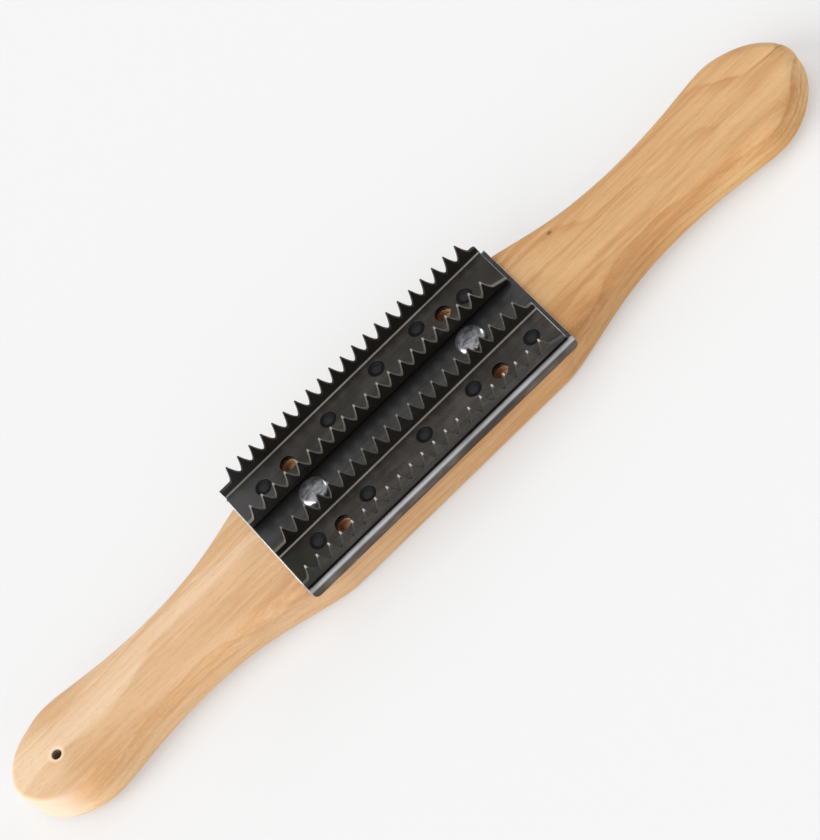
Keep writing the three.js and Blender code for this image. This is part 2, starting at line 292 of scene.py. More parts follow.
def stepped_ring(bm, points, heights):
    return [bm.verts.new((p.x, p.y, z)) for p, z in zip(points, heights)]


def bridge(bm, lower, upper, material=0):
    for i in range(len(lower)):
        j = (i + 1) % len(lower)
        face = bm.faces.new((lower[i], lower[j], upper[j], upper[i]))
        face.material_index = material


def bridge_all(bm, rings, material=0):
    for lower, upper in zip(rings, rings[1:]):
        bridge(bm, lower, upper, material)


def fill(bm, *rings):
    """A flat face with one outer ring, and a hole for each other ring."""
    edges = []
    for one in rings:
        for a, b in zip(one, one[1:] + one[:1]):
            edges.append(bm.edges.get((a, b)) or bm.edges.new((a, b)))
    bmesh.ops.triangle_fill(bm, use_beauty=True, edges=edges)


def fan(bm, one, z):
    """Closes a round ring on a point at its middle."""
    middle = sum((v.co for v in one), Vector()) / len(one)
    top = bm.verts.new((middle.x, middle.y, z))
    for a, b in zip(one, one[1:] + one[:1]):
        bm.faces.new((a, b, top))


def piece(name, bm, nodes, materials, sharp=32):
    """Turns a mesh in millimetres into a finished piece that stands for CAD nodes."""
    bmesh.ops.recalc_face_normals(bm, faces=bm.faces)
    if bm.calc_volume(signed=True) < 0:
        bmesh.ops.reverse_faces(bm, faces=bm.faces)
    bmesh.ops.transform(bm, matrix=Matrix.Scale(MM, 4), verts=bm.verts)
    mesh = bpy.data.meshes.new(name)
    bm.to_mesh(mesh)
    bm.free()
    for material in materials:
        mesh.materials.append(material)
    mesh.shade_smooth()
    mesh.set_sharp_from_angle(angle=math.radians(sharp))
    made = bpy.data.objects.new(name, mesh)
    bpy.context.scene.collection.objects.link(made)
    weighted = made.modifiers.new("flat_faces_stay_flat", "WEIGHTED_NORMAL")
    weighted.keep_sharp = True
    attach(made, "root")
    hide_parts(*nodes)
    return made


# ---------------------------------------------------------------- wooden board

def handle_edge(handle):
    """One long edge from the body's shoulder to the tip, on the +Y side of the right-hand half."""
    shoulder = (SHOULDER_AT, BODY_HALF_WIDTH)
    neck = (NECK_AT, handle["neck"])
    bulb = (BULB_AT, handle["bulb"])
    tip = (handle["tip"], 0)
    points = [Vector(shoulder)]
    points += bezier(shoulder, (SHOULDER_AT + SHOULDER_PULL, shoulder[1]),
                     (NECK_AT - NECK_PULL_INWARDS, neck[1]), neck)
    points += bezier(neck, (NECK_AT + NECK_PULL_OUTWARDS, neck[1]), (BULB_AT - BULB_PULL, bulb[1]), bulb)
    points += bezier(bulb, (BULB_AT + handle["nose_length"], bulb[1]), (tip[0], handle["nose_width"]), tip)
    return points


def board_outline():
    right = handle_edge(RIGHT_HANDLE)
    left = [Vector((-p.x, p.y)) for p in reversed(handle_edge(LEFT_HANDLE))]
    far = left + right
    near = [Vector((p.x, -p.y)) for p in reversed(far[1:-1])]
    return far + near


def edge_rounding(x, upper):
    along = mix(BODY_ROUNDING, HANDLE_ROUNDING, smooth(abs(x), ROUNDING_FROM, ROUNDING_TO))
    handle = LEFT_HANDLE if x < 0 else RIGHT_HANDLE
    at_tip = handle["upper_rounding" if upper else "lower_rounding"]
    return mix(along, at_tip, smooth(abs(x), TIP_FROM, TIP_TO))


def board_rings(bm):
    """The outline carried from the back to the toothed face, drawn in by the rounding of both edges."""
    outline = board_outline()
    ways = inward(outline)
    angles = [math.pi / 2 * step / ROUNDING_STEPS for step in range(ROUNDING_STEPS + 1)]

    def at(angle, upper):
        made = []
        for point, way in zip(outline, ways):
            radius = edge_rounding(point.x, upper)
            place = point + way * (radius * (1 - math.cos(angle)))
            depth = radius * (1 - math.sin(angle))
            made.append(bm.verts.new((place.x, place.y, BOARD_THICKNESS - depth if upper else depth)))
        return made

    return [at(angle, False) for angle in reversed(angles)] + [at(angle, True) for angle in angles]


def hang_hole(bm):
    """A hole through the board. Returns the rings that it opens with below and above."""
    wall = circle(HANG_HOLE, HANG_HOLE_RADIUS, HOLE_SIDES)
    mouth = circle(HANG_HOLE, HANG_HOLE_RADIUS + HANG_HOLE_BREAK, HOLE_SIDES)
    below = ring(bm, mouth, 0)
    above = ring(bm, mouth, BOARD_THICKNESS)
    bridge_all(bm, [below, ring(bm, wall, HANG_HOLE_BREAK),
                    ring(bm, wall, BOARD_THICKNESS - HANG_HOLE_BREAK), above])
    return below, above


def bolt_hole(bm, centre):
    """A counterbore in the back, a hole for the shank and a square pocket for the bolt's neck."""
    pocket_floor = NECK_END - GAP
    shank = circle(centre, SHANK_RADIUS + GAP, BOLT_HOLE_SIDES)
    wall = circle(centre, COUNTERBORE_RADIUS, BOLT_HOLE_SIDES)
    pocket = square(centre, NECK_POCKET, BOLT_HOLE_SIDES)
    opening = ring(bm, circle(centre, COUNTERBORE_RADIUS + GAP, BOLT_HOLE_SIDES), 0)
    top = ring(bm, pocket, BOARD_THICKNESS)
    bridge_all(bm, [opening, ring(bm, wall, GAP), ring(bm, wall, COUNTERBORE_DEPTH),
                    ring(bm, shank, COUNTERBORE_DEPTH), ring(bm, shank, pocket_floor),
                    ring(bm, pocket, pocket_floor), top])
    return opening, top


def drilled_pit(bm, centre):
    """The blind hole that the drill left in the board under an open hole of the steel."""
    wall = circle(centre, OPEN_HOLE_RADIUS, PIT_SIDES)
    shoulder = BOARD_THICKNESS - DRILLED_DEPTH
    top = ring(bm, wall, BOARD_THICKNESS)
    lower = ring(bm, wall, shoulder)
    bridge(bm, lower, top)
    fan(bm, lower, shoulder - DRILL_POINT)
    return top


def wooden_board(material):
    bm = bmesh.new()
    rings = board_rings(bm)
    bridge_all(bm, rings)
    back = [rings[0]]
    top = [rings[-1]]
    holes = [hang_hole(bm)]
    holes += [bolt_hole(bm, centre_mm(f"carriage_bolt_{side}").xy) for side in SIDES]
    for below, above in holes:
        back.append(below)
        top.append(above)
    for node in CHANNELS.values():
        top += [drilled_pit(bm, (x, centre_mm(node).y)) for x in OPEN_HOLES]
    fill(bm, *back)
    fill(bm, *top)
    return piece("shaped_board", bm, ["wooden_body"], [material])


# ---------------------------------------------------------------- folded sheet

class Fold:
    """A sheet folded up along both long sides. s runs across the unfolded sheet from its middle line,
    and h through its thickness, from the face that ends up outside to the one that ends up inside."""

    def __init__(self, sheet, half_width, inner_bend, lean):
        self.sheet = sheet
        self.turn = math.pi / 2 - lean
        self.centre = inner_bend + sheet
        self.middle = inner_bend + sheet / 2
        self.bend_starts = half_width - self.centre
        self.bend_ends = self.bend_starts + self.middle * self.turn

    def across(self, height):
        """How far out on the unfolded sheet a flange reaches that height above the web's outer face."""
        bend_top = self.centre - self.middle * math.cos(self.turn)
        return self.bend_ends + (height - bend_top) / math.sin(self.turn)

    def place(self, s, h):
        """(y, z) of a point of the folded sheet, z above the web's outer face."""
        side = math.copysign(1, s)
        out = abs(s)
        if out <= self.bend_starts:
            return s, self.sheet / 2 + h
        turned = min((out - self.bend_starts) / self.middle, self.turn)
        run = max(0.0, out - self.bend_ends)
        radius = self.middle - h
        y = self.bend_starts + radius * math.sin(turned) + run * math.cos(self.turn)
        z = self.centre - radius * math.cos(turned) + run * math.sin(self.turn)
        return side * y, z

    def bend_lines(self):
        steps = [mix(self.bend_starts, self.bend_ends, i / BEND_STEPS) for i in range(BEND_STEPS + 1)]
        return steps + [-s for s in steps]

    def bend_highlight(self, s):
        """1 along the middle of a fold, falling to 0 at both sides of it."""
        share = (abs(s) - self.bend_starts) / (self.bend_ends - self.bend_starts)
        return max(0.0, 1 - (2 * share - 1) ** 2)


def sheared_sheet(sheet, outline, broken, holes):
    """A flat sheet in (x, s, h) with its edges broken, by broken(point) along its outline.
    The outline's sheared edges have material 1."""
    bm = bmesh.new()
    half = sheet / 2
    faces = ([], [])
    loops = [(outline, broken, 1)]
    loops += [(hole, lambda point: DRILLED_EDGE, 0) for hole in holes]
    for loop, depth, material in loops:
        depths = [depth(point) for point in loop]
        drawn_in = [p + w * d for p, w, d in zip(loop, inward(loop), depths)]
        rings = [ring(bm, drawn_in, -half), stepped_ring(bm, loop, [d - half for d in depths]),
                 stepped_ring(bm, loop, [half - d for d in depths]), ring(bm, drawn_in, half)]
        bridge_all(bm, rings, material)
        faces[0].append(rings[0])
        faces[1].append(rings[-1])
    for rings in faces:
        fill(bm, *rings)
    return bm


def fold_up(bm, fold, highlit_face, tip, point_glint, to_frame):
    """Folds a flat sheet. highlit_face is the sign of h on the face whose folds get a painted highlight,
    tip is how high the sheet reaches and point_glint is how bright a glint is painted on its far and near
    points."""
    for s in fold.bend_lines():
        geometry = bm.verts[:] + bm.edges[:] + bm.faces[:]
        bmesh.ops.bisect_plane(bm, geom=geometry, plane_co=(0, s, 0), plane_no=(0, 1, 0), dist=1e-5)
    bend_highlight = bm.verts.layers.float.new("bend_highlight")
    tip_glint = bm.verts.layers.float.new("tip_glint")
    for vert in bm.verts:
        x, s, h = vert.co
        y, z = fold.place(s, h)
        vert[bend_highlight] = fold.bend_highlight(s) if h * highlit_face > 0 else 0.0
        vert[tip_glint] = smooth(z, tip - GLINT_STARTS, tip - GLINT_FULL) * point_glint[0 if s > 0 else 1]
        vert.co = to_frame(x, y, z)


def open_holes(y=0.0):
    return [circle((x, y), OPEN_HOLE_RADIUS, HOLE_SIDES) for x in OPEN_HOLES]


def base_plate(materials):
    drop = PLATE_HIGH.z - PLATE_LOW.z
    fold = Fold(PLATE_SHEET, PLATE_HIGH.y, PLATE_INNER_BEND, 0)
    flange_end = fold.across(drop)
    outline = []
    corners = ((-1, 1, math.pi), (1, 1, math.pi / 2), (1, -1, 0), (-1, -1, -math.pi / 2))
    for along, across, start in corners:
        end = PLATE_HIGH.x if along > 0 else PLATE_LOW.x
        middle = Vector((end - along * PLATE_CORNER, across * (flange_end - PLATE_CORNER)))
        for step in range(CORNER_STEPS + 1):
            angle = start - math.pi / 2 * step / CORNER_STEPS
            outline.append(middle + PLATE_CORNER * Vector((math.cos(angle), math.sin(angle))))
    holes = [square(centre_mm(f"carriage_bolt_{side}").xy, NECK_POCKET, HOLE_SIDES) for side in SIDES]
    for node in CHANNELS.values():
        holes += open_holes(centre_mm(node).y)

    def broken(point):
        along = smooth(point.x, PLATE_LOW.x, PLATE_LOW.x + PLATE_CORNER)
        return mix(PLATE_ROLLED_EDGE, SHEARED_EDGE, along)

    bm = sheared_sheet(PLATE_SHEET, outline, broken, holes)
    # This sheet is folded down, so the face above, whose folds get the painted highlight, is the one that h
    # counts from, its outer one.
    fold_up(bm, fold, -1, drop, (0, 0), lambda x, y, z: (x, y, PLATE_HIGH.z - z))
    return piece("folded_base_plate", bm, ["base_plate"], materials)


def sloped_shoulder(fold, end, gullet):
    return [Vector((end, fold.across(gullet - NEAR_SHOULDER_DROP)))]


def rounded_shoulder(fold, end, gullet):
    radius = FAR_SHOULDER_ROUNDING
    middle = Vector((end - radius, fold.across(gullet - radius)))
    angles = [math.pi / 2 * (1 - step / SHOULDER_STEPS) for step in range(SHOULDER_STEPS + 1)]
    return [middle + radius * Vector((math.cos(angle), math.sin(angle))) for angle in angles]


def toothed_edge(fold, start, end, stagger, shoulder):
    """One toothed edge of the unfolded channel, from its left end to its right, as (x, s)."""
    gullet = CHANNEL_SHEET + GULLET_HEIGHT
    rise = TIP_HEIGHT - GULLET_HEIGHT
    reach = rise + TIP_BLUNTING
    blunt = 1 - (rise / reach) ** (1 / FLANK_POWER)
    half = TOOTH_PITCH / 2
    shares = [mix(1, blunt, i / FLANK_STEPS) for i in range(FLANK_STEPS + 1)]
    offsets = [-share for share in shares] + list(reversed(shares[1:]))
    first = STEEL_CENTRE + stagger - (TEETH - 1) * half
    edge = [Vector((start, fold.across(gullet)))]
    for tooth in range(TEETH):
        for offset in offsets:
            height = gullet + reach * (1 - abs(offset)) ** FLANK_POWER
            edge.append(Vector((first + tooth * TOOTH_PITCH + offset * half, fold.across(height))))
    last_gullet = first + (TEETH - 0.5) * TOOTH_PITCH
    edge.append(Vector((last_gullet, fold.across(gullet))))
    return edge + shoulder(fold, end, gullet)


def weld_nodes(row):
    return [f"spot_weld_{row}_{i + 1}" for i in range(WELDS_IN_A_ROW)]


def weld_size(node):
    """(centre, radius along X, how much longer it is along Y)"""
    low, high = box_mm(node)
    radius = (high.x - low.x) / 2
    return (low + high) / 2, radius, (high.y - low.y) / 2 / radius


def toothed_channel(row, materials):
    low, high = box_mm(CHANNELS[row])
    middle = (low.y + high.y) / 2
    fold = Fold(CHANNEL_SHEET, CHANNEL_WIDTH / 2, CHANNEL_INNER_BEND, FLANGE_LEAN)
    far = toothed_edge(fold, low.x, high.x, TOOTH_STAGGER, rounded_shoulder)
    near = toothed_edge(fold, low.x, high.x, -TOOTH_STAGGER, sloped_shoulder)
    outline = far + [Vector((p.x, -p.y)) for p in reversed(near)]
    holes = open_holes()
    for node in weld_nodes(row):
        centre, radius, stretch = weld_size(node)
        holes.append(circle((centre.x, centre.y - middle), radius + WELD_SEAM, HOLE_SIDES, stretch))

    def broken(point):
        return WORN_EDGE if point.x > high.x - 0.01 else SHEARED_EDGE

    bm = sheared_sheet(CHANNEL_SHEET, outline, broken, holes)
    tip = CHANNEL_SHEET + TIP_HEIGHT
    fold_up(bm, fold, 1, tip, POINT_GLINT[row], lambda x, y, z: (x, middle + y, low.z + z))
    return piece(f"{row}_toothed_channel", bm, [CHANNELS[row]], materials)


# ---------------------------------------------------------------- turned pieces

def lathe(bm, profile, centre, sides, stretch=1.0):
    """Rings for a profile of (radius, z), in its order."""
    return [ring(bm, circle(centre, radius, sides, stretch), z) for radius, z in profile]


def roughen(verts, amount, size, seed):
    """Small hammered-looking unevenness in height, the same each run."""
    for vert in verts:
        vert.co.z += amount * noise.noise(vert.co / size + Vector((seed, 0, 0)))


def spot_weld(row, index, material):
    node = weld_nodes(row)[index]
    centre, radius, stretch = weld_size(node)
    low, high = box_mm(node)
    bm = bmesh.new()
    profile = [(radius, low.z)] + [(radius - inwards, high.z - down) for inwards, down in WELD_DISH]
    rings = lathe(bm, profile, centre.xy, WELD_SIDES, stretch)
    bridge_all(bm, rings)
    fill(bm, rings[0])
    fan(bm, rings[-1], high.z - WELD_MIDDLE)
    upper = [v for v in bm.verts if v.co.z > high.z - WELD_SKIN]
    roughen(upper, WELD_UNEVENNESS, 1.1, index * 7 + len(row))
    made = piece(f"weld_{row}_{index + 1}", bm, [node], [material], sharp=60)
    store_reach(made, centre, radius, stretch)
    return made


def store_reach(made, centre, radius, stretch):
    """Each point's share of the way from the weld's middle to its rim, for its colours."""
    reach = made.data.attributes.new("reach", "FLOAT", "POINT")
    for index, vert in enumerate(made.data.vertices):
        out = vert.co / MM - centre
        reach.data[index].value = math.hypot(out.x, out.y / stretch) / radius


def thread_radius(angle, z, crest):
    """Radius of a screw thread at a point of its surface."""
    phase = (z / THREAD_PITCH - angle / (2 * math.pi)) % 1
    return crest - THREAD_DEPTH * abs(2 * phase - 1)


def threaded(bm, centre, crest, low, high, sides):
    """Rings of a screw thread, which fades into its ends."""
    rings = []
    count = max(2, round((high - low) / (THREAD_PITCH / THREAD_STEPS)))
    for i in range(count + 1):
        z = mix(low, high, i / count)
        points = []
        for k in range(sides):
            angle = 2 * math.pi * k / sides
            radius = thread_radius(angle, z, crest)
            points.append(centre + radius * Vector((math.cos(angle), math.sin(angle))))
        rings.append(ring(bm, points, z))
    return rings


def carriage_bolt(side, material):
    node = f"carriage_bolt_{side}"
    low, high = box_mm(node)
    centre = centre_mm(node).xy
    seat = PLATE_HIGH.z + SEAT_GAP
    head = (high.x - low.x) / 2
    bm = bmesh.new()
    tail = ring(bm, circle(centre, SHANK_RADIUS - THREAD_DEPTH, BOLT_SIDES), low.z)
    rings = [tail] + threaded(bm, centre, SHANK_RADIUS, low.z + THREAD_RUNOUT, THREAD_TOP, BOLT_SIDES)
    shank = circle(centre, SHANK_RADIUS, BOLT_SIDES)
    neck = square(centre, NECK_SIDE, BOLT_SIDES)
    rings += [ring(bm, shank, THREAD_TOP + THREAD_RUNOUT), ring(bm, shank, NECK_END),
              ring(bm, neck, NECK_END), ring(bm, neck, seat)]
    rim = [(head - inwards, seat + up) for inwards, up in HEAD_UNDERSIDE]
    rise = high.z - seat - HEAD_RIM
    dome = []
    for step in range(DOME_STEPS):
        angle = math.pi / 2 * step / DOME_STEPS
        out = head * math.cos(angle) ** (2 / DOME_FULLNESS)
        dome.append((out, seat + HEAD_RIM + rise * math.sin(angle) ** (2 / DOME_FULLNESS)))
    head_rings = lathe(bm, rim + dome, centre, BOLT_SIDES)
    rings += head_rings
    bridge_all(bm, rings)
    fill(bm, tail)
    fan(bm, rings[-1], high.z)
    dome_verts = [v for one in head_rings[len(rim) + 1:] for v in one]
    roughen(dome_verts, HEAD_UNEVENNESS, 2.6, 3 if side == "left" else 11)
    made = piece(f"round_head_bolt_{side}", bm, [node], [material], sharp=50)
    store_reach(made, centre_mm(node), head, 1.0)
    return made


def washer(side, material):
    node = f"washer_{side}"
    low, high = box_mm(node)
    outer = (high.x - low.x) / 2
    inner = SHANK_RADIUS + GAP
    outside = [(outer - WASHER_ROLLED, low.z), (outer - WASHER_ROLL_MIDDLE, low.z + WASHER_ROLL_MIDDLE),
               (outer, low.z + WASHER_ROLLED), (outer, high.z - WASHER_BROKEN),
               (outer - WASHER_BROKEN, high.z)]
    # The bore's side mirrors the outer one.
    inside = [(inner + outer - radius, z) for radius, z in reversed(outside)]
    bm = bmesh.new()
    rings = lathe(bm, outside + inside, centre_mm(node).xy, WASHER_SIDES)
    bridge_all(bm, rings + rings[:1])
    return piece(f"flat_washer_{side}", bm, [node], [material])


def hex_radius(angle, half_flats):
    """Radius of a hexagon that has corners towards +Y and -Y."""
    from_flat = (angle + math.pi / 6) % (math.pi / 3) - math.pi / 6
    return half_flats / math.cos(from_flat)


def hex_nut(side, material):
    node = f"nut_{side}"
    low, high = box_mm(node)
    centre = centre_mm(node).xy
    half_flats = (high.x - low.x) / 2
    crest = SHANK_RADIUS + THREAD_DEPTH + NUT_THREAD_GAP
    bm = bmesh.new()

    def chamfered(z, inwards):
        """The hexagon's ring at the edge of a chamfer that starts on the flats' circle."""
        made = []
        for k in range(NUT_SIDES):
            angle = 2 * math.pi * k / NUT_SIDES
            radius = hex_radius(angle, half_flats)
            place = centre + radius * Vector((math.cos(angle), math.sin(angle)))
            drop = (radius - half_flats) * math.tan(NUT_CHAMFER)
            made.append(bm.verts.new((place.x, place.y, z + inwards * drop)))
        return made

    bore = threaded(bm, centre, crest, low.z + THREAD_RUNOUT, high.z - THREAD_RUNOUT, NUT_SIDES)
    mouth = circle(centre, crest + NUT_MOUTH, NUT_SIDES)
    face = circle(centre, half_flats - NUT_FACE_INSET, NUT_SIDES)
    rings = [ring(bm, mouth, low.z), ring(bm, face, low.z), chamfered(low.z + NUT_CHAMFER_FROM, 1),
             chamfered(high.z - NUT_CHAMFER_FROM, -1), ring(bm, face, high.z), ring(bm, mouth, high.z)]
    rings += list(reversed(bore))
    bridge_all(bm, rings + rings[:1])
    return piece(f"hex_nut_{side}", bm, [node], [material])


# ---------------------------------------------------------------- materials

def srgb(red, green, blue):
    """A colour as a screen shows it, 0 to 255, turned into the linear one that shaders take."""
    def linear(value):
        share = value / 255
        return share / 12.92 if share <= 0.04045 else ((share + 0.055) / 1.055) ** 2.4
    return (linear(red), linear(green), linear(blue), 1.0)


class Finish:
    """One material's node tree, built by short calls. Its patterns are laid out in millimetres."""

    def __init__(self, name):
        self.material = bpy.data.materials.new(name)
        self.material.use_nodes = True
        self.tree = self.material.node_tree
        self.tree.nodes.clear()
        coordinates = self.tree.nodes.new("ShaderNodeTexCoord")
        self.place = self.vector("MULTIPLY", coordinates.outputs["Object"], (1 / MM,) * 3)

    def put(self, socket, value):
        if isinstance(value, bpy.types.NodeSocket):
            self.tree.links.new(value, socket)
        else:
            socket.default_value = value

    def vector(self, operation, a, b):
        node = self.tree.nodes.new("ShaderNodeVectorMath")
        node.operation = operation
        self.put(node.inputs[0], a)
        self.put(node.inputs[1], b)
        return node.outputs["Value" if operation == "LENGTH" else "Vector"]

    def times(self, a, b):
        return self.math("MULTIPLY", a, b)

    def plus(self, a, b):
        return self.math("ADD", a, b)

    def math(self, operation, a, b=0.0):
        node = self.tree.nodes.new("ShaderNodeMath")
        node.operation = operation
        self.put(node.inputs[0], a)
        self.put(node.inputs[1], b)
        return node.outputs["Value"]

    def axis(self, name):
        node = self.tree.nodes.new("ShaderNodeSeparateXYZ")
        self.put(node.inputs[0], self.place)
        return node.outputs[name]

    def distance(self, point, stretch):
        """Distance in millimetres from a point, each axis counted by its stretch."""
        away = self.vector("SUBTRACT", self.place, point)
        return self.vector("LENGTH", self.vector("MULTIPLY", away, stretch), (0, 0, 0))

    def near_axis(self, x, y, outer, inner):
        """1 nearer to an upright axis than inner, falling to 0 at outer."""
        return self.spread(self.distance((x, y, 0), (1, 1, 0)), outer, inner)

    def noise(self, per_mm, detail=3.0, roughness=0.5, shift=(0, 0, 0), distortion=0.0):
        """Noise from 0 to 1, with that many features per millimetre along X, Y and Z."""
        node = self.tree.nodes.new("ShaderNodeTexNoise")
        moved = self.vector("ADD", self.vector("MULTIPLY", self.place, per_mm), shift)
        self.put(node.inputs["Vector"], moved)
        self.put(node.inputs["Scale"], 1.0)
        self.put(node.inputs["Detail"], detail)
        self.put(node.inputs["Roughness"], roughness)
        self.put(node.inputs["Distortion"], distortion)
        return node.outputs["Fac"]

    def ramp(self, value, stops, smooth_steps=False):
        node = self.tree.nodes.new("ShaderNodeValToRGB")
        node.color_ramp.interpolation = "EASE" if smooth_steps else "LINEAR"
        elements = node.color_ramp.elements
        while len(elements) < len(stops):
            elements.new(0.5)
        for element, (position, colour) in zip(elements, stops):
            element.position = position
            element.color = colour if isinstance(colour, tuple) else (colour,) * 3 + (1.0,)
        self.put(node.inputs["Fac"], value)
        return node.outputs["Color"]

    def spread(self, value, low, high, to_low=0.0, to_high=1.0):
        """Moves a value from one range to another, held inside it."""
        node = self.tree.nodes.new("ShaderNodeMapRange")
        self.put(node.inputs["Value"], value)
        self.put(node.inputs["From Min"], low)
        self.put(node.inputs["From Max"], high)
        self.put(node.inputs["To Min"], to_low)
        self.put(node.inputs["To Max"], to_high)
        return node.outputs["Result"]

    def blend(self, share, a, b, how="MIX"):
        node = self.tree.nodes.new("ShaderNodeMix")
        node.data_type = "RGBA"
        node.blend_type = how
        self.put(node.inputs[0], share)
        self.put(node.inputs[6], a)
        self.put(node.inputs[7], b)
        return node.outputs[2]

    def attribute(self, name):
        node = self.tree.nodes.new("ShaderNodeAttribute")
        node.attribute_name = name
        return node.outputs["Fac"]

    def bump(self, height, depth_mm, strength=1.0, under=None):
        node = self.tree.nodes.new("ShaderNodeBump")
        self.put(node.inputs["Height"], height)
        self.put(node.inputs["Distance"], depth_mm * MM)
        self.put(node.inputs["Strength"], strength)
        if under is not None:
            self.put(node.inputs["Normal"], under)
        return node.outputs["Normal"]

    def finish(self, **sockets):
        shader = self.tree.nodes.new("ShaderNodeBsdfPrincipled")
        for name, value in sockets.items():
            self.put(shader.inputs[name.replace("_", " ")], value)
        output = self.tree.nodes.new("ShaderNodeOutputMaterial")
        self.tree.links.new(shader.outputs["BSDF"], output.inputs["Surface"])
        return self.material


def late_wood(wood, wander):
    """0 to 1 through each growth ring. The rings are long shells round a pith line under the board."""
    ripple = wood.noise((0.03, 0.12, 0.1), detail=3.0, shift=(9, 2, 5))
    out_y = wood.plus(wood.axis("Y"), PITH_BESIDE)
    out_z = wood.plus(wood.axis("Z"), PITH_BELOW)
    shell = wood.math("SQRT", wood.plus(wood.times(out_y, out_y),
                                        wood.times(out_z, out_z)))
    shell = wood.plus(shell, wood.times(wander, 26.0))
    shell = wood.plus(shell, wood.times(ripple, 2.4))
    share = wood.math("FRACT", wood.math("DIVIDE", shell, RING_SPACING))
    return wood.ramp(share, [(0.0, 0.1), (0.45, 0.3), (0.8, 0.8), (0.88, 1.0), (1.0, 0.1)], True)


def centred(wood, value, weight):
    """A pattern from 0 to 1 turned into one round 0, with that weight."""
    return wood.times(wood.math("SUBTRACT", value, 0.5), weight)


def hole_wear_and_painted_light(wood, colour):
    """A pale worn ring round the hang hole and painted shade inside it, and the pits under the open holes
    painted in shade on their left and in light on their right.
    """
    worn_ring = wood.near_axis(HANG_HOLE.x, HANG_HOLE.y, 4.2, 3.0)
    colour = wood.blend(wood.times(worn_ring, 0.6), colour, srgb(240, 214, 186))
    # Painted shade inside the hang hole.
    inside = wood.near_axis(HANG_HOLE.x, HANG_HOLE.y, HANG_HOLE_RADIUS + 0.15, HANG_HOLE_RADIUS - 0.1)
    colour = wood.blend(inside, colour, srgb(20, 12, 7))
    pit_floor = BOARD_THICKNESS - DRILLED_DEPTH - DRILL_POINT
    at_pits = wood.spread(wood.axis("Z"), pit_floor - 1.0, pit_floor - 0.5)
    for node in CHANNELS.values():
        for x in OPEN_HOLES:
            share = wood.near_axis(x, centre_mm(node).y, OPEN_HOLE_RADIUS + 0.3, OPEN_HOLE_RADIUS - 0.2)
            share = wood.times(share, at_pits)
            # Each pit is painted in shade on its left side and in light on its right one, as lit from the
            # left.
            side = wood.spread(wood.axis("X"), x - 1.6, x + 3.4)
            pit = wood.blend(side, srgb(116, 56, 20), srgb(255, 214, 166))
            colour = wood.blend(share, colour, pit)
    return colour


def marked(wood, colour):
    """A pin knot, small dark flecks on the near side and a fine crack in the right-hand tip."""
    for x, y, z, radius in DARK_FLECKS:
        away = wood.distance((x, y, z), (0.7, 1, 1))
        share = wood.spread(away, radius, radius * 0.4, 0.0, 0.75)
        colour = wood.blend(share, colour, srgb(92, 58, 36))
    aside = wood.math("ABSOLUTE", wood.math("SUBTRACT", wood.axis("Y"), CRACK_Y))
    crack = wood.spread(aside, 0.45, 0.1)
    crack = wood.times(crack, wood.spread(wood.axis("X"), 204.0, 210.0))
    crack = wood.times(crack, wood.spread(wood.axis("Z"), 11.0, 17.0, 0.0, 0.6))
    return wood.blend(crack, colour, srgb(128, 84, 46))


